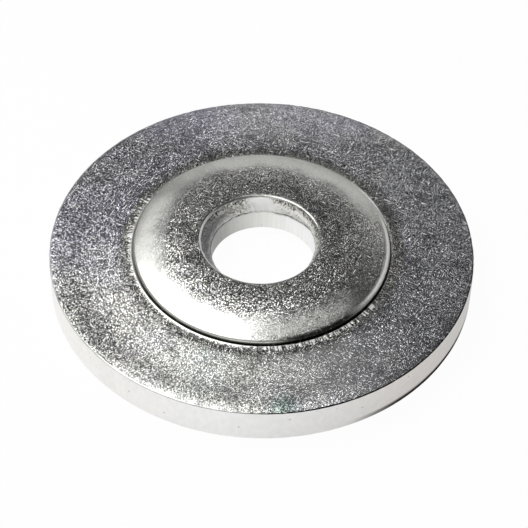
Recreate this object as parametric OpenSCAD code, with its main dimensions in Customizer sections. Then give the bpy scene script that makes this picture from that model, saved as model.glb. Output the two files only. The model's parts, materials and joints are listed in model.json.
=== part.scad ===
// Profiled washer: a punched steel disc with a pressed-up dome round its bore.
// The section is drawn once, radius along X and height along Y, and turned about the axis.
// Lengths are in millimetres. The disc rests on its underside at z = 0.

/* [Disc] */
// Outer diameter
outer_d = 45; // [38:0.5:60]
// Thickness of the flat rim
plate_t = 4; // [3:0.1:6]
// Round on the upper outer edge
top_edge_r = 0.15; // [0.05:0.05:0.6]
// Rolled lower outer edge, drawn in when the disc was punched
rolled_edge_r = 0.45; // [0.1:0.05:0.9]

/* [Dome] */
// Diameter of the dome at its foot
dome_d = 27.2; // [24:0.1:32]
// Height of the crown above the flat rim
dome_rise = 1.35; // [1:0.05:1.8]
// Width of the flat crown round the mouth of the bore
crown_w = 1.35; // [0.5:0.05:2.5]
// Radius of the shoulder where the flank turns down to the foot
shoulder_r = 0.3; // [0.15:0.05:0.7]
// Height of the straight foot below the shoulder, from the groove's floor
foot_h = 0.53; // [0.2:0.01:0.7]

/* [Groove round the dome] */
// Width of the groove's floor
groove_w = 0.1; // [0.05:0.05:0.5]
// Depth of the groove below the flat rim
groove_depth = 0.28; // [0.2:0.02:0.5]
// Round on the groove's outer lip
lip_r = 0.15; // [0.05:0.05:0.3]
// How far the pressing raised the lip above the flat rim
lip_rise = 0.07; // [0.02:0.01:0.2]
// Width over which the raised lip falls back to the flat rim
lip_fall_w = 0.5; // [0.2:0.05:1.5]

/* [Bore] */
// Diameter of the smooth part of the bore
bore_d = 11; // [9:0.1:12.5]
// Height of the smooth part, from the roof of the recess up to the torn part
smooth_h = 2.55; // [1:0.05:3.5]
// How far the torn part opens, on the radius, up to the mouth
tear_open = 0.8; // [0.1:0.05:1.2]
// Rolled edge where the punch went in, on the underside
entry_r = 0.25; // [0.05:0.05:0.5]

/* [Recess under the dome] */
// Diameter of the recess where it meets the underside
recess_d = 24.4; // [21:0.1:30]
// Depth of the recess at the bore
recess_depth = 1.1; // [0.4:0.05:1.6]
// Width of the flat roof round the bore
roof_w = 2.4; // [0.6:0.1:3]

/* [Hidden] */
$fn = 180;
outer_r = outer_d / 2;
dome_foot_r = dome_d / 2;
bore_r = bore_d / 2;
recess_r = recess_d / 2;

// Heights of the crown, the groove's floor, the top of the dome's straight foot, the raised lip and
// the foot of the torn part
crown_z = plate_t + dome_rise;
groove_z = plate_t - groove_depth;
foot_z = groove_z + foot_h;
lip_z = plate_t + lip_rise;
tear_z = recess_depth + smooth_h;

// Radii outwards from the bore's mouth, from the groove and from the bore's lower end
mouth_r = bore_r + tear_open;
crown_r = mouth_r + crown_w;
groove_out_r = dome_foot_r + groove_w;
lip_top_r = groove_out_r + lip_r;
lip_foot_r = lip_top_r + lip_fall_w;
entry_out_r = bore_r + entry_r;
roof_r = bore_r + roof_w;

// The flank is one long arc, level at the crown, that runs smoothly into the shoulder's arc, which
// ends upright on the foot
flank_run = dome_foot_r - crown_r - shoulder_r;
flank_drop = crown_z - foot_z - shoulder_r;
flank_slope = 2 * atan2(flank_drop, flank_run);
flank_r = shoulder_r + flank_run / sin(flank_slope);

// The recess falls from its roof to the underside in one arc, level at the roof
recess_run = recess_r - roof_r;
recess_arc_r = (recess_run ^ 2 + recess_depth ^ 2) / (2 * recess_depth);

// Room past an edge, so that a cutting window never ends on the edge itself
past = 1;

// How far the shoulder's circle stands proud, so that it crosses its neighbours instead of touching them
weld = 0.001;

// A quarter round on an edge, in the quarter that the signs of side point to
module quarter_round(centre, radius, side) {
    translate(centre)
        intersection() {
            circle(r = radius);
            mirror([side.x < 0 ? 1 : 0, 0])
                mirror([0, side.y < 0 ? 1 : 0])
                square(radius + past);
        }
}

// The flat rim, the raised lip, and the floor that the groove leaves under the dome
module plate_section() {
    polygon([
        [0, 0],
        [outer_r - rolled_edge_r, 0],
        [outer_r, rolled_edge_r],
        [outer_r, plate_t - top_edge_r],
        [outer_r - top_edge_r, plate_t],
        [lip_foot_r, plate_t],
        [lip_top_r, lip_z],
        [groove_out_r, lip_z - lip_r],
        [groove_out_r, groove_z],
        [0, groove_z]
    ]);
    quarter_round([outer_r - rolled_edge_r, rolled_edge_r], rolled_edge_r, [1, -1]);
    quarter_round([outer_r - top_edge_r, plate_t - top_edge_r], top_edge_r, [1, 1]);
    quarter_round([lip_top_r, lip_z - lip_r], lip_r, [-1, 1]);
}

// The crown, the foot, the flank and the shoulder. The two arcs meet on the line through both their
// centres, so they are drawn in a frame that is turned to that line.
module dome_section() {
    square([crown_r, crown_z]);
    square([dome_foot_r, foot_z]);
    translate([crown_r, crown_z])
        translate([0, -flank_r]) {
            intersection() {
                circle(r = flank_r);
                translate([0, flank_r - crown_z]) square([dome_foot_r, crown_z + past]);
                rotate(-flank_slope) translate([-dome_foot_r, 0]) square([dome_foot_r, flank_r + past]);
            }
            rotate(-flank_slope)
                translate([0, flank_r - shoulder_r])
                circle(r = shoulder_r + weld);
        }
}

// What the pressing leaves open under the dome
module recess_section() {
    translate([0, -past]) square([roof_r, recess_depth + past]);
    translate([roof_r, recess_depth])
        translate([0, -recess_arc_r])
        intersection() {
            circle(r = recess_arc_r);
            translate([0, recess_arc_r - recess_depth - past]) square([recess_r, recess_depth + 2 * past]);
        }
}

// The hole: smooth below, torn and opening above, with a chord for its rolled lower edge
module bore_section() {
    polygon([
        [0, -past],
        [entry_out_r, -past],
        [entry_out_r, recess_depth],
        [bore_r, recess_depth + entry_r],
        [bore_r, tear_z],
        [mouth_r, crown_z],
        [mouth_r, crown_z + past],
        [0, crown_z + past]
    ]);
}

module section() {
    difference() {
        union() {
            plate_section();
            dome_section();
        }
        recess_section();
        bore_section();
    }
    quarter_round([entry_out_r, recess_depth + entry_r], entry_r, [-1, -1]);
}

module washer() {
    color("silver")
        rotate_extrude()
        section();
}

washer();
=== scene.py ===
import json
import math
import random

import bpy
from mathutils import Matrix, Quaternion, Vector


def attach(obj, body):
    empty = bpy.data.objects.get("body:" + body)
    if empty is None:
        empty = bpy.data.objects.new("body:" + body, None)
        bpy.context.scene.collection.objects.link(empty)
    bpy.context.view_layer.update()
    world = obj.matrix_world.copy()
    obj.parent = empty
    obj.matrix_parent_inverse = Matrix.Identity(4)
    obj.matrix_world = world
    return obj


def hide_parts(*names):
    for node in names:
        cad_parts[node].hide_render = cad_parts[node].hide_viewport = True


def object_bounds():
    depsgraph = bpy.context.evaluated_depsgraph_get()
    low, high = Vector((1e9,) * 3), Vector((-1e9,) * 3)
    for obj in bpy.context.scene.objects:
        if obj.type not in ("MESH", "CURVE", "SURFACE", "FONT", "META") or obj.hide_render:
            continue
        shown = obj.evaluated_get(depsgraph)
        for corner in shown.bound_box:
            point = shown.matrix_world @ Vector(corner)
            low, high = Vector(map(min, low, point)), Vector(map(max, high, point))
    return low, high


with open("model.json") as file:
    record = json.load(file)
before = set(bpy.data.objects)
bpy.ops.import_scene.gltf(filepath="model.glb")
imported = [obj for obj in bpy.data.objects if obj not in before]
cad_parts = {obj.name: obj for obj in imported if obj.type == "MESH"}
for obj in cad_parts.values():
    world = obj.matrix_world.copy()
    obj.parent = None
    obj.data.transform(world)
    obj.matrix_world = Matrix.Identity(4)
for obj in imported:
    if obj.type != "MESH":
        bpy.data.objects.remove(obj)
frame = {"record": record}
cadLow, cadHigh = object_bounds()  # the CAD box
mounts = {m["name"]: m for m in frame["record"]["mounts"]}
scene = bpy.context.scene
scene.view_settings.view_transform = "Standard"
mm = 0.001
print("frame loaded, CAD box", [round(c / mm, 3) for c in (*cadLow, *cadHigh)], "mm")


def colour(hexText):  # sRGB hex to the linear colour that nodes take
    parts = [int(hexText[i:i + 2], 16) / 255 for i in (1, 3, 5)]
    return [c / 12.92 if c <= 0.04045 else ((c + 0.055) / 1.055) ** 2.4 for c in parts] + [1]


def addNode(tree, kind, settings=None, links=None):  # a link is (node, output), anything else is a value
    node = tree.nodes.new("ShaderNode" + kind)
    for name, value in (settings or {}).items():
        if name == "stops":  # places and hex colours on a ramp
            points = node.color_ramp.elements
            while len(points) < len(value):
                points.new(0.5)
            for point, (place, hexText) in zip(points, value):
                point.position = place
                point.color = colour(hexText)
        else:
            setattr(node, name, value)
    for name, value in (links or {}).items():
        socket = node.inputs[name]
        if isinstance(value, tuple) and isinstance(value[0], bpy.types.Node):
            tree.links.new(value[0].outputs[value[1]], socket)
        else:
            socket.default_value = value
    return node


def direction(turn, up):  # degrees from the right, seen from above, and degrees above the table
    turn, up = math.radians(turn), math.radians(up)
    return Vector((math.cos(up) * math.cos(turn), math.cos(up) * math.sin(turn), math.sin(up)))


def pickOnly(piece):
    bpy.ops.object.select_all(action="DESELECT")
    piece.select_set(True)
    bpy.context.view_layer.objects.active = piece


def newMaterial(name):
    material = bpy.data.materials.new(name)
    material.use_nodes = True
    material.node_tree.nodes.clear()
    return material, material.node_tree


# the washer's section, radius and height in mm, walked from the underside out and over the top
body = {
    "turns": 720,  # steps round the axis
    "outerR": cadHigh.x / mm,
    "crownZ": cadHigh.z / mm,
    "rimZ": mounts["rim_top"]["pos_m"][2] / mm,
    "boreR": mounts["bore"]["dims"]["r_mm"] + 0.1,  # the punched wall is a little wide of its size
    "topEdge": 0.15,  # round on the upper outer edge
    "rolledEdge": 0.16,  # round on the lower outer edge
    "domeR": 13.6,
    "crownR": 7.65,
    "shoulder": 0.3,
    "footRise": 0.53,  # upright foot of the dome, from the groove's floor
    "grooveDrop": 0.28,
    "grooveOut": 13.7,
    "lip": 0.15,
    "lipRise": 0.07,
    "lipFall": 0.5,  # the raised lip runs out into the rim over this width
    "mouthOpen": 0.66,
    "mouthRound": 0.22,
    "tearZ": 3.65,
    "ledge": 0.04, "ledgeRise": 0.03,  # where the shorn wall ends and the torn one starts
    "entry": 0.25,
    "recessR": 12.2,
    "recessZ": 1.1,
    "roofR": 7.9,
}


def arc(centreR, centreZ, radius, start, end, count):  # without its first point
    turns = [math.radians(start + (end - start) * i / count) for i in range(1, count + 1)]
    return [(centreR + radius * math.cos(t), centreZ + radius * math.sin(t)) for t in turns]


def line(first, last, count):  # without its first point
    return [tuple(a + (b - a) * i / count for a, b in zip(first, last)) for i in range(1, count + 1)]


def sectionPoints(b):
    grooveZ = b["rimZ"] - b["grooveDrop"]
    footZ = grooveZ + b["footRise"]
    lipR, lipZ = b["grooveOut"] + b["lip"], b["rimZ"] + b["lipRise"]
    run = b["domeR"] - b["crownR"] - b["shoulder"]
    drop = b["crownZ"] - footZ - b["shoulder"]
    slope = 2 * math.atan2(drop, run)  # where the long flank meets the shoulder
    flank = b["shoulder"] + run / math.sin(slope)
    turned = 90 - math.degrees(slope)
    mouthR = b["boreR"] + b["mouthOpen"]
    roofRun = b["recessR"] - b["roofR"]
    recessArc = (roofRun ** 2 + b["recessZ"] ** 2) / (2 * b["recessZ"])
    recessEnd = math.degrees(math.asin(roofRun / recessArc))
    points = [(b["recessR"], 0)]
    points += line(points[-1], (b["outerR"] - b["rolledEdge"], 0), 4)
    points += arc(b["outerR"] - b["rolledEdge"], b["rolledEdge"], b["rolledEdge"], -90, 0, 7)
    points += line(points[-1], (b["outerR"], b["rimZ"] - b["topEdge"]), 8)
    points += arc(b["outerR"] - b["topEdge"], b["rimZ"] - b["topEdge"], b["topEdge"], 0, 90, 4)
    points += line(points[-1], (lipR + b["lipFall"] + 0.6, b["rimZ"]), 8)
    points += line(points[-1], (lipR + b["lipFall"], b["rimZ"]), 4)
    steps = [(i / 9) ** 0.6 for i in range(1, 10)]  # steepest at the lip
    points += [(lipR + b["lipFall"] * (1 - u), b["rimZ"] + b["lipRise"] * u ** 4) for u in steps]
    points += arc(lipR, lipZ - b["lip"], b["lip"], 90, 180, 5)
    points += [(b["grooveOut"], grooveZ), (b["domeR"], grooveZ)]
    points += line(points[-1], (b["domeR"], footZ), 3)
    points += arc(b["domeR"] - b["shoulder"], footZ, b["shoulder"], 0, turned, 12)
    points += arc(b["crownR"], b["crownZ"] - flank, flank, turned, 90, 18)
    points += line(points[-1], (mouthR + b["mouthRound"], b["crownZ"]), 5)
    points += arc(mouthR + b["mouthRound"], b["crownZ"] - b["mouthRound"], b["mouthRound"], 90, 180, 3)
    points += line(points[-1], (b["boreR"] + b["ledge"], b["tearZ"] + b["ledgeRise"]), 22)
    points += [(b["boreR"], b["tearZ"])]
    points += line(points[-1], (b["boreR"], b["recessZ"] + b["entry"]), 7)
    points += arc(b["boreR"] + b["entry"], b["recessZ"] + b["entry"], b["entry"], 180, 270, 4)
    points += line(points[-1], (b["roofR"], b["recessZ"]), 3)
    points += arc(b["roofR"], b["recessZ"] - recessArc, recessArc, 90, 90 - recessEnd, 9)
    return points


def turnWasher(b):
    points = sectionPoints(b)
    bpy.ops.object.select_all(action="DESELECT")
    bpy.ops.mesh.primitive_plane_add(size=mm)
    piece = bpy.context.object
    piece.name = piece.data.name = "washerBody"
    bpy.ops.object.mode_set(mode="EDIT")
    bpy.ops.mesh.select_all(action="SELECT")
    bpy.ops.mesh.merge(type="CENTER")  # one point is left, and the section is drawn from it
    bpy.ops.transform.translate(value=(points[0][0] * mm, 0, points[0][1] * mm))
    for (r0, z0), (r1, z1) in zip(points, points[1:]):
        bpy.ops.mesh.extrude_region_move(
            TRANSFORM_OT_translate={"value": ((r1 - r0) * mm, 0, (z1 - z0) * mm)})
    wedge = math.tau / 8
    bpy.ops.mesh.select_all(action="SELECT")
    bpy.ops.mesh.spin(steps=b["turns"] // 8, angle=wedge, center=(0, 0, 0), axis=(0, 0, 1))
    for times in (1, 2, 4):  # an eighth of the turn is spun, then doubled to the whole
        bpy.ops.mesh.select_all(action="SELECT")
        bpy.ops.mesh.duplicate()
        bpy.ops.transform.rotate(value=wedge * times, orient_axis="Z", center_override=(0, 0, 0))
    bpy.ops.mesh.select_all(action="SELECT")
    bpy.ops.mesh.remove_doubles(threshold=0.002 * mm)
    bpy.ops.mesh.normals_make_consistent(inside=False)
    bpy.ops.object.mode_set(mode="OBJECT")
    bpy.ops.object.shade_smooth()
    print("washer turned:", len(points), "points in the section,", len(piece.data.polygons), "faces")
    return piece


def polar(point):  # radius and height in mm, turn in degrees from the right, seen from above
    return math.hypot(point.x, point.y) / mm, point.z / mm, math.degrees(math.atan2(point.y, point.x))


washer = turnWasher(body)

# which finish each face takes: 0 rolled plate, 1 shorn wall, 2 torn wall, 3 shorn bore
for face in washer.data.polygons:
    radius, height = polar(face.center)[:2]
    inBore = radius < body["boreR"] + body["mouthOpen"] + 0.01 and height < body["crownZ"] - 0.1
    if inBore and height > body["tearZ"]:
        face.material_index = 2
    elif inBore and height > body["recessZ"] + 0.02:
        face.material_index = 3
    elif radius > body["outerR"] - 0.08 and height < body["rimZ"] - 0.07:
        face.material_index = 1
    elif radius > body["outerR"] - 0.4 and 0.01 < height < 1:  # the rolled foot
        face.material_index = 1

# the end of the shorn wall wanders round the bore, and at the back it runs up to the mouth untorn
tear = {
    "seed": 11,
    "wander": 0.12,  # mm up and down
    "jag": 0.05,
    "tongueTurn": 92,  # degrees
    "tongueHalf": 16,
    "tongueRise": 0.1,
    "rise": 0.75, "riseTurn": -8, "riseHalf": 55,  # on the right it climbs to the mouth
}


def torn(turn, t):  # 0 in the middle of the untorn tongue, 1 away from it
    return min(1, max(0, abs(turn - t["tongueTurn"]) / t["tongueHalf"] * 2 - 1))


def tearHeights(b, t):
    dice = random.Random(t["seed"])
    waves = [(n, dice.uniform(0, math.tau), dice.uniform(0.4, 1) / n ** 0.5) for n in (2, 3, 5, 7, 11, 17)]
    heights = []
    step = 0
    for i in range(b["turns"]):
        turn = 360 * i / b["turns"]
        if i % 5 == 0:
            step = dice.uniform(-1, 1)
        wave = sum(size * math.sin(n * math.radians(turn) + start) for n, start, size in waves)
        off = (turn - t["riseTurn"] + 180) % 360 - 180
        climb = t["rise"] * max(0, 1 - (off / t["riseHalf"]) ** 2)
        climb += t["tongueRise"] * (0.5 + 0.5 * math.cos(math.pi * torn(turn, t)))
        heights.append(b["tearZ"] + t["wander"] * wave / 2 + t["jag"] * step + climb)
    return heights


def slideTear(piece, b, t):
    heights = tearHeights(b, t)
    floor = b["recessZ"] + b["entry"]
    top = b["crownZ"] - b["mouthRound"]
    onLedge = piece.data.attributes.new("tearLine", "FLOAT", "POINT")  # 1 on the ledge, for the material
    tornHere = piece.data.attributes.new("tornShare", "FLOAT", "POINT")
    for v in piece.data.vertices:
        radius, height, turn = polar(v.co)
        tornHere.data[v.index].value = torn(turn, t)
        if radius < b["boreR"] + b["mouthOpen"] + 0.001 and floor < height < top:
            new = heights[round(turn / 360 * b["turns"]) % b["turns"]]
            if height <= b["tearZ"] + b["ledgeRise"] + 0.001:
                v.co.z = (floor + (height - floor) * (new - floor) / (b["tearZ"] - floor)) * mm
            else:
                v.co.z = (top - (top - height) * (top - new) / (top - b["tearZ"])) * mm
            onLedge.data[v.index].value = 1 if abs(height - b["tearZ"] - b["ledgeRise"] / 2) < 0.02 else 0


slideTear(washer, body, tear)
print("tear line slid")

# the break-out is wider on the left: the mouth leans that way, and the shorn wall a little to the right
leans = [  # from and to in height, reach and shift in mm
    {"low": body["crownZ"] - body["mouthRound"] - 0.01, "high": 9, "reach": 1.5, "shift": -0.2},
    {"low": body["recessZ"] + 0.2, "high": body["tearZ"] + 0.4, "reach": 0.8, "shift": 0.2},
]


def leanBore(piece, b, lean):
    pickOnly(piece)
    bpy.ops.object.mode_set(mode="EDIT")
    bpy.ops.mesh.select_all(action="DESELECT")
    bpy.ops.object.mode_set(mode="OBJECT")
    for v in piece.data.vertices:
        radius, height = polar(v.co)[:2]
        v.select = radius < b["boreR"] + b["mouthOpen"] + 0.02 and lean["low"] < height < lean["high"]
    bpy.ops.object.mode_set(mode="EDIT")
    bpy.ops.transform.translate(value=(lean["shift"] * mm, 0, 0), use_proportional_edit=True,
                                proportional_edit_falloff="SMOOTH", proportional_size=lean["reach"] * mm)
    bpy.ops.object.mode_set(mode="OBJECT")


for lean in leans:
    leanBore(washer, body, lean)
print("bore leaned")


def roughen(piece, name, size, depth, test, level=0.5):  # pushes the picked faces in and out
    group = piece.vertex_groups.new(name=name)
    for v in piece.data.vertices:
        weight = test(*polar(v.co))
        if weight > 0:
            group.add([v.index], weight, "REPLACE")
    texture = bpy.data.textures.new(name, "CLOUDS")
    texture.noise_scale = size * mm
    pickOnly(piece)
    bpy.ops.object.modifier_add(type="DISPLACE")
    push = piece.modifiers[-1]
    push.name = name
    push.texture = texture
    push.texture_coords = "LOCAL"
    push.vertex_group = name
    push.strength = depth * mm
    push.mid_level = level
    bpy.ops.object.modifier_apply(modifier=push.name)
    piece.vertex_groups.clear()


# small unevenness of the walls and edges, in mm
relief = {
    "tornR": 6.6, "tornLow": 3.75, "tornHigh": 5.22,  # where the torn wall lies
    "mouthWidth": 0.3, "mouthLow": 5.2,
    "edgeWidth": 0.2, "edgeLow": 3.8, "wallWidth": 0.3,
    "tornSize": 0.28, "tornDepth": 0.08,
    "chipSize": 0.9, "chipDepth": 0.08,
    "mouthSize": 0.6, "mouthDepth": 0.03,
    "edgeSize": 0.7, "edgeDepth": 0.07,
    "wallSize": 1.6, "wallDepth": 0.02,
}


def inTorn(radius, height, turn):
    inside = radius < relief["tornR"] and relief["tornLow"] < height < relief["tornHigh"]
    return torn(turn, tear) * inside


def atMouth(radius, height, turn):
    return radius < body["boreR"] + body["mouthOpen"] + relief["mouthWidth"] and height > relief["mouthLow"]


def atOuterEdge(radius, height, turn):
    return radius > body["outerR"] - relief["edgeWidth"] and height > relief["edgeLow"]


def onOuterWall(radius, height, turn):
    return radius > body["outerR"] - relief["wallWidth"] and height < relief["edgeLow"]


roughen(washer, "tornFine", relief["tornSize"], relief["tornDepth"], inTorn)
roughen(washer, "tornChips", relief["chipSize"], relief["chipDepth"], inTorn)
roughen(washer, "mouthEdge", relief["mouthSize"], relief["mouthDepth"], atMouth, level=1)
roughen(washer, "outerEdge", relief["edgeSize"], relief["edgeDepth"], atOuterEdge, level=1)
roughen(washer, "outerWall", relief["wallSize"], relief["wallDepth"], onOuterWall, level=1)
print("walls and edges roughened")

# short ridges dragged outwards from the groove's lip when the dome was pressed
marks = {
    "seed": 5,
    "spans": [(-92, -34, 60), (150, 206, 40), (-180, 180, 16)],  # from and to in degrees, how many
    "start": 13.84,  # mm from the axis
    "short": 0.2, "long": 0.65,
    "lifts": (0.016, 0.024, 0.034),
}


def dragMarks(piece, b, m):
    dice = random.Random(m["seed"])
    piece.data.attributes.new("dragMark", "FLOAT", "POINT")  # 1 on a ridge, for the material
    columns = {}
    for v in piece.data.vertices:
        radius, height, turn = polar(v.co)
        if m["start"] < radius < m["start"] + m["long"] + 0.1 and height > b["rimZ"] - 0.02:
            columns.setdefault(round(turn / 360 * b["turns"]) % b["turns"], []).append((radius, v.index))
    for lift in m["lifts"]:
        chosen = []
        for first, last, count in m["spans"]:
            for i in range(count):
                if dice.choice(m["lifts"]) != lift:
                    continue
                place = first + (last - first) * (i + dice.uniform(0, 0.8)) / count
                column = round(place / 360 * b["turns"]) % b["turns"]
                length = dice.uniform(m["short"], m["long"])
                chosen += [index for radius, index in columns[column] if radius < m["start"] + length]
        bpy.ops.object.mode_set(mode="EDIT")
        bpy.ops.mesh.select_mode(type="VERT")
        bpy.ops.mesh.select_all(action="DESELECT")
        bpy.ops.object.mode_set(mode="OBJECT")
        for index in chosen:
            piece.data.vertices[index].select = True
        bpy.ops.object.mode_set(mode="EDIT")
        bpy.ops.transform.translate(value=(0, 0, lift * mm))
        bpy.ops.object.mode_set(mode="OBJECT")
        rubbed = piece.data.attributes["dragMark"]
        for index in chosen:
            rubbed.data[index].value = 1
    print("drag marks raised")


dragMarks(washer, body, marks)


# bright zinc plate over grainy rolled steel: a grey metal of tiny facets that flash light and dark,
# burnished to a soft gloss where the press drew the dome's flank down
plateLook = {
    "facet": 0.075,  # mm across
    "facetLean": 0.21,
    "grain": 0.1,  # mm
    "grainDepth": 0.014,  # mm
    "grainRough": 0.22, "calmRough": 0.252,
    "burnishRough": 0.34,
    "dragRough": 0.85, "hazeRough": 0.54,
    "scuffWays": (28, 117), "scuffWidth": 0.13, "scuffLength": 1.3,  # degrees, mm, mm
    "scuffRare": 0.732,
    "sides": [  # name, turn and half width in degrees
        ("glare", -130, 62), ("front", -88, 50), ("pressed", -62, 25), ("grainy", -32, 75),
        ("sheen", -66, 32), ("sheenLeft", 172, 34), ("warm", -112, 70), ("shade", 146, 48),
        ("lit", -8, 42), ("mouthLeft", -168, 62)],
    "burnishFrom": 9.6, "burnishFull": 12.3, "burnishEnd": 13.86,  # mm from the axis
    "burnishShare": 0.8, "grainyShare": 0.36,  # of the grain rubbed off, and of that on the grainy side
    "dragShare": 0.8, "mouthInFront": 0.4,
    "fray": 1.6,  # mm that the rings' edges wander
    # a painted sheen on the back of the rim
    "backSheenFrom": 14, "backSheenFull": 21, "backSheenShare": 0.85, "backSheenTone": "#faf9ff",  # mm towards the back
    # a painted shade on the front left's outer rim, against the glare
    "glareShadeFrom": 17.5, "glareShadeFull": 20.5, "paleShare": 0.3, "glareShadeTone": "#d2d2d2",  # mm from the axis
    "rimFrom": 14.9,  # mm from the axis
    "calmPale": 0.85, "calmLean": 0.45,
    "specks": [(0.05, "#242428"), (0.27, "#bcbcbf"), (0.44, "#ffffff")],
    "clouds": [(0.3, "#b8b8ba"), (0.46, "#e8e8e9"), (0.62, "#ffffff")], "cloudsOnFlank": 0.35,
    "tints": [(0.1, "#f5f9f4"), (0.25, "#fafaf4"), (0.5, "#f8f8fa"), (0.8, "#f4f3fb")],
    "shadeTone": "#e4e3e8", "grooveShadeTone": "#55544f", "shoulderShadeTone": "#5c5c58",
    "edgeShadeTone": "#3a3a3c", "scratchAndHighlightTone": "#fbfbf8",
    "sheenFrom": 12.4, "sheenEnd": 13.3, "sheenLeast": 0.4,  # mm from the axis
    "liveFrom": -8, "liveFull": 20, "live": (0.94, 1.25), "liveOnDome": 0.95,  # mm towards the back
    "blotch": 3.0,  # mm
    "wash": 8.0,  # mm
    "stainAt": (2.4, -21.5, 4.0), "stainReach": 2.2, "stainShare": 0.7, "stainTone": "#c4e2d6",  # mm
    "rings": [  # mm from the axis, and what the tones are multiplied by there
        (7.4, "#dcdcdc"), (9.2, "#fafafa"), (13.95, "#f0f0f0"),
        # the stops just outside the lip are a painted shade
        (14.35, "#cdcdcb"), (14.8, "#d2d2d1"), (15.8, "#ffffff")],
    "ringsFrom": 5, "ringsTo": 17,  # mm from the axis
}


def zincOnRolledPlate(look, b):
    material, tree = newMaterial("zincOnRolledPlate")
    place = addNode(tree, "TexCoord")
    level = addNode(tree, "VectorMath", {"operation": "MULTIPLY"}, {0: (place, "Object"), 1: (1, 1, 0)})
    radius = addNode(tree, "VectorMath", {"operation": "LENGTH"}, {0: (level, 0)})
    outward = addNode(tree, "VectorMath", {"operation": "NORMALIZE"}, {0: (level, 0)})
    sides = {}
    for name, turn, half in look["sides"]:
        ahead = addNode(tree, "VectorMath", {"operation": "DOT_PRODUCT"}, {
            0: (outward, 0), 1: direction(turn, 0)})
        sides[name] = addNode(tree, "MapRange", {"interpolation_type": "SMOOTHSTEP"}, {
            "Value": (ahead, "Value"), "From Min": math.cos(math.radians(half)),
            "From Max": math.cos(math.radians(half / 3))})
    facets = addNode(tree, "TexVoronoi", {}, {
        "Vector": (place, "Object"), "Scale": 1 / (look["facet"] * mm), "Randomness": 1})
    chance = addNode(tree, "SeparateColor", {}, {0: (facets, "Color")})
    grain = addNode(tree, "TexNoise", {}, {
        "Vector": (place, "Object"), "Scale": 1 / (look["grain"] * mm), "Detail": 1, "Roughness": 0.5})
    blotch = addNode(tree, "TexNoise", {}, {
        "Vector": (place, "Object"), "Scale": 1 / (look["blotch"] * mm), "Detail": 5, "Roughness": 0.7})
    wash = addNode(tree, "TexNoise", {}, {
        "Vector": (place, "Object"), "Scale": 1 / (look["wash"] * mm), "Detail": 1})
    # short scuffs in two directions, few and bright
    scuffs = []
    for way in look["scuffWays"]:
        turned = addNode(tree, "VectorRotate", {"rotation_type": "Z_AXIS"}, {
            "Vector": (place, "Object"), "Angle": math.radians(way)})
        drawnOut = addNode(tree, "VectorMath", {"operation": "MULTIPLY"}, {
            0: (turned, 0), 1: (1, look["scuffWidth"] / look["scuffLength"], 1)})
        streak = addNode(tree, "TexNoise", {}, {
            "Vector": (drawnOut, 0), "Scale": 1 / (look["scuffWidth"] * mm), "Detail": 1, "Roughness": 0.4})
        scuffs.append(addNode(tree, "MapRange", {}, {
            "Value": (streak, "Fac"), "From Min": look["scuffRare"], "From Max": look["scuffRare"] + 0.03}))
    scuffed = addNode(tree, "Math", {"operation": "MAXIMUM"}, {0: (scuffs[0], 0), 1: (scuffs[1], 0)})
    # the edge of the burnished ring wanders with the blotches
    wander = addNode(tree, "Math", {"operation": "MULTIPLY_ADD"}, {
        0: (blotch, "Fac"), 1: look["fray"] * mm, 2: -look["fray"] / 2 * mm})
    frayed = addNode(tree, "Math", {"operation": "ADD"}, {0: (radius, "Value"), 1: (wander, 0)})
    frayedLittle = addNode(tree, "Math", {"operation": "MULTIPLY_ADD"}, {
        0: (wander, 0), 1: 0.12, 2: (radius, "Value")})
    inner = addNode(tree, "MapRange", {"interpolation_type": "SMOOTHSTEP"}, {
        "Value": (frayed, 0), "From Min": look["burnishFrom"] * mm, "From Max": look["burnishFull"] * mm})
    outer = addNode(tree, "MapRange", {}, {
        "Value": (radius, "Value"), "From Min": look["burnishEnd"] * mm,
        "From Max": (look["burnishEnd"] + 0.15) * mm, "To Min": 1, "To Max": 0})
    drawn = addNode(tree, "Math", {"operation": "MULTIPLY"}, {0: (inner, 0), 1: (outer, 0)})
    ridge = addNode(tree, "Attribute", {"attribute_name": "dragMark"})
    dragged = addNode(tree, "MapRange", {}, {
        "Value": (ridge, "Fac"), "From Min": 0.45, "From Max": 0.85, "To Max": look["dragShare"]})
    height = addNode(tree, "SeparateXYZ", {}, {0: (place, "Object")})
    # the mouth's round is rubbed and painted white as a highlight, weaker in front
    below = addNode(tree, "MapRange", {}, {
        "Value": (height, "Z"), "From Min": (b["crownZ"] - 0.012) * mm,
        "From Max": (b["crownZ"] - 0.003) * mm, "To Min": 1, "To Max": 0})
    within = addNode(tree, "Math", {"operation": "LESS_THAN"}, {0: (radius, "Value"), 1: b["crownR"] * mm})
    behind = addNode(tree, "MapRange", {}, {
        "Value": (height, "Y"), "From Min": -2 * mm, "From Max": 2 * mm, "To Min": look["mouthInFront"]})
    edge = addNode(tree, "Math", {"operation": "MULTIPLY"}, {0: (below, 0), 1: (within, 0)})
    mouth = addNode(tree, "Math", {"operation": "MULTIPLY"}, {0: (edge, 0), 1: (behind, 0)})
    # the outer edge's round has a painted highlight on the left and a painted shade on the right
    rimEdge = addNode(tree, "MapRange", {}, {
        "Value": (frayedLittle, 0), "From Min": (b["outerR"] - 0.2) * mm,
        "From Max": (b["outerR"] - 0.14) * mm})
    leftSide = addNode(tree, "MapRange", {}, {
        "Value": (height, "X"), "From Min": 3 * mm, "From Max": -3 * mm})
    rightSide = addNode(tree, "Math", {"operation": "SUBTRACT"}, {0: 1, 1: (leftSide, 0)})
    edgeLit = addNode(tree, "Math", {"operation": "MULTIPLY"}, {0: (rimEdge, 0), 1: (leftSide, 0)})
    edgeShade = addNode(tree, "Math", {"operation": "MULTIPLY"}, {0: (rimEdge, 0), 1: (rightSide, 0)})
    # the edges' painted highlights join the real burnish of the flank
    edges = addNode(tree, "Math", {"operation": "MAXIMUM"}, {0: (edgeLit, 0), 1: (mouth, 0)})
    wornAndLitEdges = addNode(tree, "Math", {"operation": "MAXIMUM"}, {0: (drawn, 0), 1: (edges, 0)})
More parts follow.
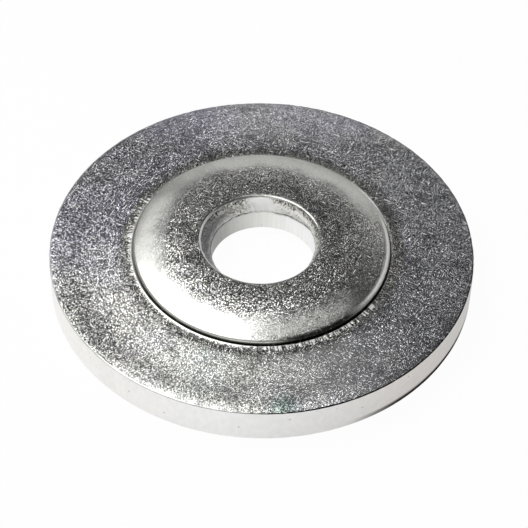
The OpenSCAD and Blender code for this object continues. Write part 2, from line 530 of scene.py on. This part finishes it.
    # painted highlights: a light line on the shoulder on the right, and on the mouth on the left
    turnDown = addNode(tree, "MapRange", {"interpolation_type": "SMOOTHSTEP"}, {
        "Value": (radius, "Value"), "From Min": (b["domeR"] - 0.6) * mm,
        "From Max": (b["domeR"] - 0.25) * mm})
    foot = addNode(tree, "MapRange", {}, {
        "Value": (radius, "Value"), "From Min": (b["domeR"] - 0.05) * mm,
        "From Max": (b["domeR"] - 0.01) * mm})
    shoulder = addNode(tree, "Math", {"operation": "SUBTRACT", "use_clamp": True}, {
        0: (turnDown, 0), 1: (foot, 0)})
    shoulderLit = addNode(tree, "Math", {"operation": "MULTIPLY"}, {0: (shoulder, 0), 1: (sides["lit"], 0)})
    marked = addNode(tree, "Math", {"operation": "MAXIMUM"}, {0: (dragged, 0), 1: (scuffed, 0)})
    mouthLit = addNode(tree, "Math", {"operation": "MULTIPLY"}, {0: (edge, 0), 1: (sides["mouthLeft"], 0)})
    lines = addNode(tree, "Math", {"operation": "MAXIMUM"}, {0: (shoulderLit, 0), 1: (mouthLit, 0)})
    scratchesAndHighlights = addNode(tree, "Math", {"operation": "MAXIMUM"}, {0: (marked, 0), 1: (lines, 0)})
    # the real burnish, scuffs and drag marks, together with the painted highlights
    rubbed = addNode(tree, "Math", {"operation": "MAXIMUM"}, {0: (wornAndLitEdges, 0), 1: (scratchesAndHighlights, 0)})
    lessRubbed = addNode(tree, "MapRange", {}, {
        "Value": (sides["grainy"], 0), "To Min": look["burnishShare"],
        "To Max": look["burnishShare"] * look["grainyShare"]})
    burnishAndHighlights = addNode(tree, "Math", {"operation": "MULTIPLY"}, {0: (rubbed, 0), 1: (lessRubbed, 0)})
    # tones: each facet its own, the low spots of the grain darker, then blotches and tints over them
    bright = addNode(tree, "Math", {"operation": "MULTIPLY_ADD"}, {
        0: (grain, "Fac"), 1: 1.2, 2: -0.75})
    flash = addNode(tree, "Math", {"operation": "MULTIPLY_ADD"}, {
        0: (chance, "Blue"), 1: 0.9, 2: (bright, 0)})
    specks = addNode(tree, "ValToRGB", {"stops": look["specks"]}, {"Fac": (flash, 0)})
    smooth = addNode(tree, "Mix", {"data_type": "RGBA"}, {
        0: (burnishAndHighlights, 0), 6: (specks, "Color"), 7: colour("#ffffff")})
    # painted light: the rim is painted lighter towards the back, a sheen from the light low behind
    back = addNode(tree, "Math", {"operation": "ADD"}, {0: (height, "Y"), 1: (wander, 0)})
    paintedBackSheen = addNode(tree, "MapRange", {"interpolation_type": "SMOOTHSTEP"}, {
        "Value": (back, 0), "From Min": look["backSheenFrom"] * mm, "From Max": look["backSheenFull"] * mm,
        "To Min": 0, "To Max": look["backSheenShare"]})
    sheenedBack = addNode(tree, "Mix", {"data_type": "RGBA"}, {
        0: (paintedBackSheen, 0), 6: (smooth, 2), 7: colour(look["backSheenTone"])})
    # painted light on the front left: the rim is painted pale inside and darker towards the edge, which
    # moves the softbox's glare inwards
    outside = addNode(tree, "MapRange", {"interpolation_type": "SMOOTHSTEP"}, {
        "Value": (frayed, 0), "From Min": look["glareShadeFrom"] * mm, "From Max": look["glareShadeFull"] * mm})
    glareShade = addNode(tree, "ValToRGB", {
        "stops": [(0, "#ffffff"), (1, look["glareShadeTone"])]}, {"Fac": (outside, 0)})
    inside = addNode(tree, "MapRange", {}, {
        "Value": (outside, 0), "To Min": look["paleShare"], "To Max": 0})
    onRim = addNode(tree, "Math", {"operation": "GREATER_THAN"}, {
        0: (radius, "Value"), 1: look["rimFrom"] * mm})
    palest = addNode(tree, "Math", {"operation": "MULTIPLY"}, {0: (inside, 0), 1: (onRim, 0)})
    glared = addNode(tree, "Math", {"operation": "MULTIPLY"}, {0: (palest, 0), 1: (sides["glare"], 0)})
    # the front of the rim is painted paler too, as painted light
    calm = addNode(tree, "Math", {"operation": "MULTIPLY"}, {0: (sides["front"], 0), 1: (onRim, 0)})
    paled = addNode(tree, "Math", {"operation": "MULTIPLY_ADD"}, {
        0: (calm, 0), 1: look["calmPale"], 2: (glared, 0)})
    paintedPale = addNode(tree, "Mix", {"data_type": "RGBA"}, {
        0: (paled, 0), 6: (sheenedBack, 2), 7: colour("#ffffff")})
    glareShaded = addNode(tree, "Mix", {"data_type": "RGBA", "blend_type": "MULTIPLY"}, {
        0: (sides["glare"], 0), 6: (paintedPale, 2), 7: (glareShade, "Color")})
    shady = addNode(tree, "Math", {"operation": "MULTIPLY"}, {0: (sides["shade"], 0), 1: (onRim, 0)})
    dimmed = addNode(tree, "Mix", {"data_type": "RGBA", "blend_type": "MULTIPLY"}, {
        0: (shady, 0), 6: (glareShaded, 2), 7: colour(look["shadeTone"])})
    clouds = addNode(tree, "ValToRGB", {"stops": look["clouds"]}, {"Fac": (blotch, "Fac")})
    cloudShare = addNode(tree, "MapRange", {}, {
        "Value": (drawn, 0), "To Min": 1, "To Max": look["cloudsOnFlank"]})
    clouded = addNode(tree, "Mix", {"data_type": "RGBA", "blend_type": "MULTIPLY"}, {
        0: (cloudShare, 0), 6: (dimmed, 2), 7: (clouds, "Color")})
    # warm in the front left, cool elsewhere, with the wash over both
    across = addNode(tree, "MapRange", {}, {"Value": (sides["warm"], 0), "To Min": 0.5, "To Max": 0.27})
    washed = addNode(tree, "Math", {"operation": "MULTIPLY_ADD"}, {0: (wash, "Fac"), 1: 0.8, 2: -0.4})
    spread = addNode(tree, "Math", {"operation": "ADD"}, {0: (across, 0), 1: (washed, 0)})
    warmDome = addNode(tree, "MapRange", {}, {"Value": (onRim, 0), "To Min": 0.26, "To Max": (spread, 0)})
    tints = addNode(tree, "ValToRGB", {"stops": look["tints"]}, {"Fac": (warmDome, 0)})
    washedOver = addNode(tree, "Mix", {"data_type": "RGBA", "blend_type": "MULTIPLY"}, {
        0: 1, 6: (clouded, 2), 7: (tints, "Color")})
    # a faint green stain at the front edge
    away = addNode(tree, "VectorMath", {"operation": "DISTANCE"}, {
        0: (place, "Object"), 1: [c * mm for c in look["stainAt"]]})
    stain = addNode(tree, "MapRange", {"interpolation_type": "SMOOTHSTEP"}, {
        "Value": (away, "Value"), "From Min": 0.3 * mm, "From Max": look["stainReach"] * mm,
        "To Min": look["stainShare"], "To Max": 0})
    tinted = addNode(tree, "Mix", {"data_type": "RGBA", "blend_type": "MULTIPLY"}, {
        0: (stain, 0), 6: (washedOver, 2), 7: colour(look["stainTone"])})
    # the crown is duller, a painted shade darkens a ring outside the lip, and painted shade lies in the
    # groove
    dulls = addNode(tree, "MapRange", {"clamp": True}, {
        "Value": (frayed, 0), "From Min": look["ringsFrom"] * mm, "From Max": look["ringsTo"] * mm})
    ringSpan = look["ringsTo"] - look["ringsFrom"]
    ringStops = [((r - look["ringsFrom"]) / ringSpan, shade) for r, shade in look["rings"]]
    rings = addNode(tree, "ValToRGB", {"stops": ringStops}, {"Fac": (dulls, 0)})
    ringed = addNode(tree, "Mix", {"data_type": "RGBA", "blend_type": "MULTIPLY"}, {
        0: 1, 6: (tinted, 2), 7: (rings, "Color")})
    low = addNode(tree, "MapRange", {}, {
        "Value": (height, "Z"), "From Min": (b["rimZ"] + 0.22) * mm, "From Max": (b["rimZ"] + 0.4) * mm,
        "To Min": 1, "To Max": 0})
    lip = addNode(tree, "MapRange", {}, {
        "Value": (radius, "Value"), "From Min": (b["grooveOut"] - 0.02) * mm,
        "From Max": (b["grooveOut"] + 0.02) * mm, "To Min": 1, "To Max": 0})
    # painted shade in the groove and on the dome's foot, strongest in front
    inGroove = addNode(tree, "Math", {"operation": "MULTIPLY"}, {0: (foot, 0), 1: (low, 0)})
    front = addNode(tree, "MapRange", {}, {
        "Value": (height, "Y"), "From Min": 1 * mm, "From Max": -7 * mm, "To Min": 0.15, "To Max": 1})
    deep = addNode(tree, "Math", {"operation": "MULTIPLY"}, {0: (inGroove, 0), 1: (lip, 0)})
    grooveShade = addNode(tree, "Math", {"operation": "MULTIPLY"}, {0: (deep, 0), 1: (front, 0)})
    grooveShaded = addNode(tree, "Mix", {"data_type": "RGBA"}, {
        0: (grooveShade, 0), 6: (ringed, 2), 7: colour(look["grooveShadeTone"])})
    # painted shade on the shoulder and foot at the front right, which face the room's dark side
    shaded = addNode(tree, "Math", {"operation": "MULTIPLY"}, {0: (turnDown, 0), 1: (lip, 0)})
    shoulderShade = addNode(tree, "Math", {"operation": "MULTIPLY"}, {0: (shaded, 0), 1: (sides["pressed"], 0)})
    darkened = addNode(tree, "Mix", {"data_type": "RGBA", "blend_type": "MULTIPLY"}, {
        0: (shoulderShade, 0), 6: (grooveShaded, 2), 7: colour(look["shoulderShadeTone"])})
    # painted shade on the right of the outer edge
    edged = addNode(tree, "Mix", {"data_type": "RGBA"}, {
        0: (edgeShade, 0), 6: (darkened, 2), 7: colour(look["edgeShadeTone"])})
    # scuffs, drag marks and the painted highlight lines are painted near white
    tone = addNode(tree, "Mix", {"data_type": "RGBA"}, {
        0: (scratchesAndHighlights, 0), 6: (edged, 2), 7: colour(look["scratchAndHighlightTone"])})
    unburnished = addNode(tree, "MapRange", {}, {
        "Value": (calm, 0), "To Min": look["grainRough"], "To Max": look["calmRough"]})
    smoothness = addNode(tree, "MapRange", {}, {
        "Value": (burnishAndHighlights, 0), "To Min": (unburnished, 0), "To Max": look["burnishRough"]})
    sheen = addNode(tree, "Math", {"operation": "MAXIMUM"}, {
        0: (sides["sheen"], 0), 1: (sides["sheenLeft"], 0)})
    inland = addNode(tree, "MapRange", {}, {
        "Value": (radius, "Value"), "From Min": look["sheenFrom"] * mm, "From Max": look["sheenEnd"] * mm,
        "To Min": 1, "To Max": look["sheenLeast"]})
    sheenIn = addNode(tree, "Math", {"operation": "MULTIPLY"}, {0: (sheen, 0), 1: (inland, 0)})
    onFlank = addNode(tree, "Math", {"operation": "MULTIPLY"}, {0: (drawn, 0), 1: (sheenIn, 0)})
    hazy = addNode(tree, "MapRange", {}, {
        "Value": (onFlank, 0), "To Min": (smoothness, 0), "To Max": look["hazeRough"]})
    rough = addNode(tree, "MapRange", {}, {
        "Value": (scratchesAndHighlights, 0), "To Min": (hazy, 0), "To Max": look["dragRough"]})
    # the grain is livelier towards the back and calmer in front
    lively = addNode(tree, "MapRange", {}, {
        "Value": (height, "Y"), "From Min": look["liveFrom"] * mm, "From Max": look["liveFull"] * mm,
        "To Min": look["live"][0], "To Max": look["live"][1]})
    onDome = addNode(tree, "MapRange", {}, {
        "Value": (onRim, 0), "To Min": look["liveOnDome"], "To Max": (lively, 0)})
    calmed = addNode(tree, "Math", {"operation": "MULTIPLY_ADD"}, {
        0: (calm, 0), 1: -look["calmLean"], 2: 1})
    unworn = addNode(tree, "Math", {"operation": "SUBTRACT", "use_clamp": True}, {
        0: (calmed, 0), 1: (burnishAndHighlights, 0)})
    strength = addNode(tree, "Math", {"operation": "MULTIPLY"}, {0: (unworn, 0), 1: (onDome, 0)})
    dents = addNode(tree, "Bump", {}, {
        "Strength": (strength, 0), "Distance": look["grainDepth"] * mm, "Height": (grain, "Fac")})
    # each facet leans its own way
    lean = look["facetLean"]
    ways = addNode(tree, "VectorMath", {"operation": "MULTIPLY_ADD"}, {
        0: (facets, "Color"), 1: (2 * lean, 2 * lean, 0), 2: (-lean, -lean, 0)})
    kept = addNode(tree, "VectorMath", {"operation": "SCALE"}, {0: (ways, 0), "Scale": (strength, 0)})
    leaned = addNode(tree, "VectorMath", {"operation": "ADD"}, {0: (dents, "Normal"), 1: (kept, 0)})
    facing = addNode(tree, "VectorMath", {"operation": "NORMALIZE"}, {0: (leaned, 0)})
    shader = addNode(tree, "BsdfPrincipled", {}, {
        "Base Color": (tone, 2), "Metallic": 1, "Roughness": (rough, 0), "Normal": (facing, 0)})
    addNode(tree, "OutputMaterial", {}, {"Surface": (shader, "BSDF")})
    return material


# zinc over a shorn wall: satin and nearly white, with faint lines along the punch's way and a few pits
shornLook = {
    "lineStrength": 0.05, "lineDepth": 0.012,  # share, mm
    "pitShare": 0.6, "pitTone": "#77756f",
    "footUp": (0.85, 0.5), "footRight": (8, 14.5), "footFront": (-4, -9),  # mm, from none to full
    "footTone": "#262524", "footGlance": "#3a3938",
    "reach": 25,  # mm to each side, for the tones across
}
wallLook = {
    **shornLook,
    "lineWidth": 0.5, "lineLength": 0.8, "lineTone": "#f8f8f8", "pit": 1.3, "rough": 0.36, "footDark": 0.9,
    # the tones across are a painted shade, darker towards the right, away from the softbox
    "across": [  # mm, tone
        (-20, "#fbf9f6"), (-4, "#f8f8f7"), (8, "#e8e7e5"), (16, "#ddd8d4"), (22, "#d4d2cf")]}
boreLook = {
    **shornLook,
    "lineWidth": 0.22, "lineLength": 5.0, "lineTone": "#f5f5f5", "pit": 1.4, "rough": 0.32, "footDark": 0,
    # painted shade and light across the bore: dark on the left, white on the right
    "across": [(-5.4, "#8a8a88"), (-3, "#c2c2bf"), (0, "#ecece8"), (2.5, "#fbfbf9"), (4.5, "#ffffff")]}


def zincOnShornWall(name, look):
    material, tree = newMaterial(name)
    place = addNode(tree, "TexCoord")
    drawn = addNode(tree, "Mapping", {"vector_type": "POINT"}, {
        "Vector": (place, "Object"), "Scale": (1, 1, look["lineWidth"] / look["lineLength"])})
    lines = addNode(tree, "TexNoise", {}, {
        "Vector": (drawn, 0), "Scale": 1 / (look["lineWidth"] * mm), "Detail": 2})
    pits = addNode(tree, "TexVoronoi", {}, {
        "Vector": (place, "Object"), "Scale": 1 / (look["pit"] * mm), "Randomness": 1})
    pitDark = addNode(tree, "MapRange", {}, {
        "Value": (pits, "Distance"), "From Min": 0.05, "From Max": 0.1,
        "To Min": look["pitShare"], "To Max": 0})
    tone = addNode(tree, "ValToRGB", {
        "stops": [(0.3, look["lineTone"]), (0.7, "#ffffff")]}, {"Fac": (lines, "Fac")})
    side = addNode(tree, "SeparateXYZ", {}, {0: (place, "Object")})
    # a painted shade across the wall, from the tones across
    reach = addNode(tree, "MapRange", {}, {
        "Value": (side, "X"), "From Min": -look["reach"] * mm, "From Max": look["reach"] * mm})
    stops = [((x + look["reach"]) / (2 * look["reach"]), shade) for x, shade in look["across"]]
    paintedShades = addNode(tree, "ValToRGB", {"stops": stops}, {"Fac": (reach, 0)})
    shadedAcross = addNode(tree, "Mix", {"data_type": "RGBA", "blend_type": "MULTIPLY"}, {
        0: 1, 6: (tone, "Color"), 7: (paintedShades, "Color")})
    pitted = addNode(tree, "Mix", {"data_type": "RGBA"}, {
        0: (pitDark, 0), 6: (shadedAcross, 2), 7: colour(look["pitTone"])})
    # the rolled foot is dark in the right front, in the washer's own shadow
    foot = addNode(tree, "MapRange", {}, {
        "Value": (side, "Z"), "From Min": look["footUp"][0] * mm, "From Max": look["footUp"][1] * mm,
        "To Min": 0, "To Max": look["footDark"]})
    right = addNode(tree, "MapRange", {"interpolation_type": "SMOOTHSTEP"}, {
        "Value": (side, "X"), "From Min": look["footRight"][0] * mm, "From Max": look["footRight"][1] * mm})
    front = addNode(tree, "MapRange", {}, {
        "Value": (side, "Y"), "From Min": look["footFront"][0] * mm, "From Max": look["footFront"][1] * mm})
    rightFront = addNode(tree, "Math", {"operation": "MULTIPLY"}, {0: (right, 0), 1: (front, 0)})
    shadow = addNode(tree, "Math", {"operation": "MULTIPLY"}, {0: (foot, 0), 1: (rightFront, 0)})
    footed = addNode(tree, "Mix", {"data_type": "RGBA"}, {
        0: (shadow, 0), 6: (pitted, 2), 7: colour(look["footTone"])})
    glancing = addNode(tree, "Mix", {"data_type": "RGBA"}, {
        0: (shadow, 0), 6: (1, 1, 1, 1), 7: colour(look["footGlance"])})
    streaks = addNode(tree, "Bump", {}, {
        "Strength": look["lineStrength"], "Distance": look["lineDepth"] * mm, "Height": (lines, "Fac")})
    shader = addNode(tree, "BsdfPrincipled", {}, {
        "Base Color": (footed, 2), "Specular Tint": (glancing, 2), "Metallic": 1,
        "Roughness": look["rough"], "Normal": (streaks, "Normal")})
    addNode(tree, "OutputMaterial", {}, {"Surface": (shader, "BSDF")})
    return material


# zinc over torn steel: a rough break, pale and a little yellow on its high spots, dark in its pits
tornLook = {
    "fleck": 0.18, "clump": 0.6, "clumpShare": 0.3,  # mm, mm, share
    "rough": 0.42,
    "tones": [(0.37, "#0c0b0a"), (0.4, "#5a5852"), (0.43, "#fcfbf2"), (0.6, "#ffffff")],
    "mouthFrom": 4.5, "mouthTo": 5.1, "mouthDrop": (-0.01, 0.1),  # mm, mm, how far the tones sink
    "leftFull": -6.2, "leftFrom": -2.5, "leftShadeTone": "#a6a6ac",  # mm
    "ledgeShadowTone": "#1d1c1b",
    "chipDepth": 0.08,  # mm
}


def zincOnTornWall(look):
    material, tree = newMaterial("zincOnTornWall")
    place = addNode(tree, "TexCoord")
    flecks = addNode(tree, "TexNoise", {}, {
        "Vector": (place, "Object"), "Scale": 1 / (look["fleck"] * mm), "Detail": 2, "Roughness": 0.7})
    clumps = addNode(tree, "TexNoise", {}, {
        "Vector": (place, "Object"), "Scale": 1 / (look["clump"] * mm), "Detail": 3, "Roughness": 0.6})
    height = addNode(tree, "SeparateXYZ", {}, {0: (place, "Object")})
    nearMouth = addNode(tree, "MapRange", {}, {
        "Value": (height, "Z"), "From Min": look["mouthFrom"] * mm, "From Max": look["mouthTo"] * mm,
        "To Min": look["mouthDrop"][0], "To Max": look["mouthDrop"][1]})
    mixed = addNode(tree, "Mix", {"data_type": "FLOAT"}, {
        0: look["clumpShare"], 2: (flecks, "Fac"), 3: (clumps, "Fac")})
    lowered = addNode(tree, "Math", {"operation": "SUBTRACT"}, {0: (mixed, 0), 1: (nearMouth, 0)})
    tone = addNode(tree, "ValToRGB", {"stops": look["tones"]}, {"Fac": (lowered, 0)})
    share = addNode(tree, "Attribute", {"attribute_name": "tornShare"})
    patchy = addNode(tree, "Math", {"operation": "MULTIPLY_ADD"}, {0: (clumps, "Fac"), 1: 3, 2: -1.9})
    spread = addNode(tree, "Math", {"operation": "MULTIPLY_ADD", "use_clamp": True}, {
        0: (share, "Fac"), 1: 1.6, 2: (patchy, 0)})
    speckled = addNode(tree, "Mix", {"data_type": "RGBA"}, {
        0: (spread, 0), 6: colour("#ffffff"), 7: (tone, "Color")})
    # painted shade: the torn wall is darker on the bore's left, and its bumps are stronger there
    left = addNode(tree, "MapRange", {"interpolation_type": "SMOOTHSTEP"}, {
        "Value": (height, "X"), "From Min": look["leftFull"] * mm, "From Max": look["leftFrom"] * mm,
        "To Min": 1, "To Max": 0})
    leftShaded = addNode(tree, "Mix", {"data_type": "RGBA", "blend_type": "MULTIPLY"}, {
        0: (left, 0), 6: (speckled, 2), 7: colour(look["leftShadeTone"])})
    # a painted shadow under the small ledge where the shorn wall ends, broken by the clumps and none in the
    # untorn tongue
    ledge = addNode(tree, "Attribute", {"attribute_name": "tearLine"})
    broken = addNode(tree, "MapRange", {}, {
        "Value": (clumps, "Fac"), "From Min": 0.4, "From Max": 0.6, "To Min": 1, "To Max": 0.3})
    edge = addNode(tree, "Math", {"operation": "MULTIPLY"}, {0: (ledge, "Fac"), 1: (broken, 0)})
    ledgeShadow = addNode(tree, "Math", {"operation": "MULTIPLY"}, {0: (edge, 0), 1: (share, "Fac")})
    edged = addNode(tree, "Mix", {"data_type": "RGBA"}, {
        0: (ledgeShadow, 0), 6: (leftShaded, 2), 7: colour(look["ledgeShadowTone"])})
    rougher = addNode(tree, "MapRange", {}, {"Value": (left, 0), "To Min": 0.5, "To Max": 1})
    strength = addNode(tree, "Math", {"operation": "MULTIPLY"}, {0: (share, "Fac"), 1: (rougher, 0)})
    chips = addNode(tree, "Bump", {}, {
        "Strength": (strength, 0), "Distance": look["chipDepth"] * mm, "Height": (flecks, "Fac")})
    shader = addNode(tree, "BsdfPrincipled", {}, {
        "Base Color": (edged, 2), "Metallic": 1, "Roughness": look["rough"], "Normal": (chips, "Normal")})
    addNode(tree, "OutputMaterial", {}, {"Surface": (shader, "BSDF")})
    return material


washer.data.materials.append(zincOnRolledPlate(plateLook, body))
washer.data.materials.append(zincOnShornWall("zincOnShornWall", wallLook))
washer.data.materials.append(zincOnTornWall(tornLook))
washer.data.materials.append(zincOnShornWall("zincOnShornBore", boreLook))
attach(washer, "root")
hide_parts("washer")
print("materials made")


# white table under the washer; the camera and the metal see it white, and it still takes the shadow
stage = {"size": 3.0, "cameraWhite": 0.97, "mirrorWhite": 0.78}


def makeFloor(s):
    bpy.ops.object.select_all(action="DESELECT")
    bpy.ops.mesh.primitive_plane_add(size=s["size"])
    floor = bpy.context.object
    floor.name = floor.data.name = "tableTop"
    material, tree = newMaterial("whitePaper")
    path = addNode(tree, "LightPath")
    mirrored = addNode(tree, "Math", {"operation": "MAXIMUM"}, {
        0: (path, "Is Glossy Ray"), 1: (path, "Is Transmission Ray")})
    dimmed = addNode(tree, "Math", {"operation": "MULTIPLY"}, {0: (mirrored, 0), 1: s["mirrorWhite"]})
    seen = addNode(tree, "Math", {"operation": "MULTIPLY"}, {
        0: (path, "Is Camera Ray"), 1: s["cameraWhite"]})
    share = addNode(tree, "Math", {"operation": "MAXIMUM"}, {0: (dimmed, 0), 1: (seen, 0)})
    paper = addNode(tree, "BsdfDiffuse", {}, {"Color": colour("#f8f8f7")})
    white = addNode(tree, "Emission", {}, {"Color": (1, 1, 1, 1), "Strength": 1})
    both = addNode(tree, "MixShader", {}, {0: (share, 0), 1: (paper, 0), 2: (white, 0)})
    addNode(tree, "OutputMaterial", {}, {"Surface": (both, 0)})
    floor.data.materials.append(material)


makeFloor(stage)

# a softbox high on the left, a long weak one low behind, bright walls to the left and in front,
# and a dim room that is darker high on the right
lighting = {
    "leftTurn": 167, "leftUp": 64.4, "leftAway": 0.1227, "leftSize": (0.0972, 0.0875), "leftGlow": 3.36,
    "backTurn": 57.3, "backUp": 26.5, "backAway": 0.1778, "backSize": (0.3606, 0.0208), "backGlow": 1.03,
    "room": 0.15, "horizon": 0.471, "horizonPower": 4.42, "rightDark": 0.955,
    "walls": [  # turn, up, glow and narrowness
        (213.7, -6.4, 0.69, 8.3),
        (266, 2, 1.1, 9),
    ],
    "wattsPerGlow": 4,  # a lamp's watts for each square metre and unit of glow
}


def softbox(name, turn, up, away, size, glow):
    place = direction(turn, up) * away
    bpy.ops.object.select_all(action="DESELECT")
    bpy.ops.object.light_add(type="AREA", location=place)
    lamp = bpy.context.object
    lamp.name = name
    lamp.data.shape = "RECTANGLE"
    lamp.data.size, lamp.data.size_y = size
    lamp.data.energy = glow * size[0] * size[1] * lighting["wattsPerGlow"]
    lamp.rotation_euler = (-place).to_track_quat("-Z", "Y").to_euler()


def makeRoom(l):
    world = bpy.data.worlds.new("dimRoom")
    scene.world = world
    world.use_nodes = True
    tree = world.node_tree
    tree.nodes.clear()
    place = addNode(tree, "TexCoord")
    way = addNode(tree, "SeparateXYZ", {}, {0: (place, "Generated")})
    low = addNode(tree, "Math", {"operation": "SUBTRACT", "use_clamp": True}, {0: 1, 1: (way, "Z")})
    near = addNode(tree, "Math", {"operation": "POWER"}, {0: (low, 0), 1: l["horizonPower"]})
    glow = addNode(tree, "Math", {"operation": "MULTIPLY_ADD"}, {
        0: (near, 0), 1: l["horizon"], 2: l["room"]})
    right = addNode(tree, "Math", {"operation": "ADD", "use_clamp": True}, {0: (way, "X"), 1: 0.1})
    high = addNode(tree, "Math", {"operation": "MULTIPLY", "use_clamp": True}, {0: (way, "Z"), 1: 2})
    dark = addNode(tree, "Math", {"operation": "MULTIPLY"}, {0: (right, 0), 1: (high, 0)})
    kept = addNode(tree, "Math", {"operation": "MULTIPLY_ADD", "use_clamp": True}, {
        0: (dark, 0), 1: -l["rightDark"], 2: 1})
    strength = addNode(tree, "Math", {"operation": "MULTIPLY"}, {0: (glow, 0), 1: (kept, 0)})
    for turn, up, bright, narrow in l["walls"]:
        facing = addNode(tree, "VectorMath", {"operation": "DOT_PRODUCT"}, {
            0: (place, "Generated"), 1: direction(turn, up)})
        ahead = addNode(tree, "Math", {"operation": "MAXIMUM"}, {0: (facing, "Value"), 1: 0})
        wall = addNode(tree, "Math", {"operation": "POWER"}, {0: (ahead, 0), 1: narrow})
        strength = addNode(tree, "Math", {"operation": "MULTIPLY_ADD"}, {
            0: (wall, 0), 1: bright, 2: (strength, 0)})
    room = addNode(tree, "Background", {}, {"Color": (1, 1, 1, 1), "Strength": (strength, 0)})
    addNode(tree, "OutputWorld", {}, {"Surface": (room, 0)})


softbox("leftSoftbox", *[lighting["left" + k] for k in ("Turn", "Up", "Away", "Size", "Glow")])
softbox("backSoftbox", *[lighting["back" + k] for k in ("Turn", "Up", "Away", "Size", "Glow")])
makeRoom(lighting)
print("table and lights set")

# the photograph's camera: a long lens from the front, 47 degrees up, turned a little on its axis
view = {
    "target": (0, 0, body["rimZ"]),  # mm
    "distance": 216.2,  # mm
    "elevation": 46.98,
    "roll": 1.22,
    "lens": 139.0,
    "down": 0.467,  # degrees that the camera looks below the target
    "right": 0.072,
}


def makeCamera(v):
    up = math.radians(v["elevation"])
    target = Vector(v["target"]) * mm
    place = target + Vector((0, -math.cos(up), math.sin(up))) * v["distance"] * mm
    bpy.ops.object.select_all(action="DESELECT")
    bpy.ops.object.camera_add(location=place)
    camera = bpy.context.object
    camera.name = "photoCamera"
    camera.data.lens = v["lens"]
    camera.data.clip_start = 0.01
    camera.data.clip_end = 10
    turn = (target - place).to_track_quat("-Z", "Y")
    for axis, angle in (((1, 0, 0), -v["down"]), ((0, 1, 0), -v["right"]), ((0, 0, 1), v["roll"])):
        turn = turn @ Quaternion(axis, math.radians(angle))
    camera.rotation_euler = turn.to_euler()
    scene.camera = camera


makeCamera(view)
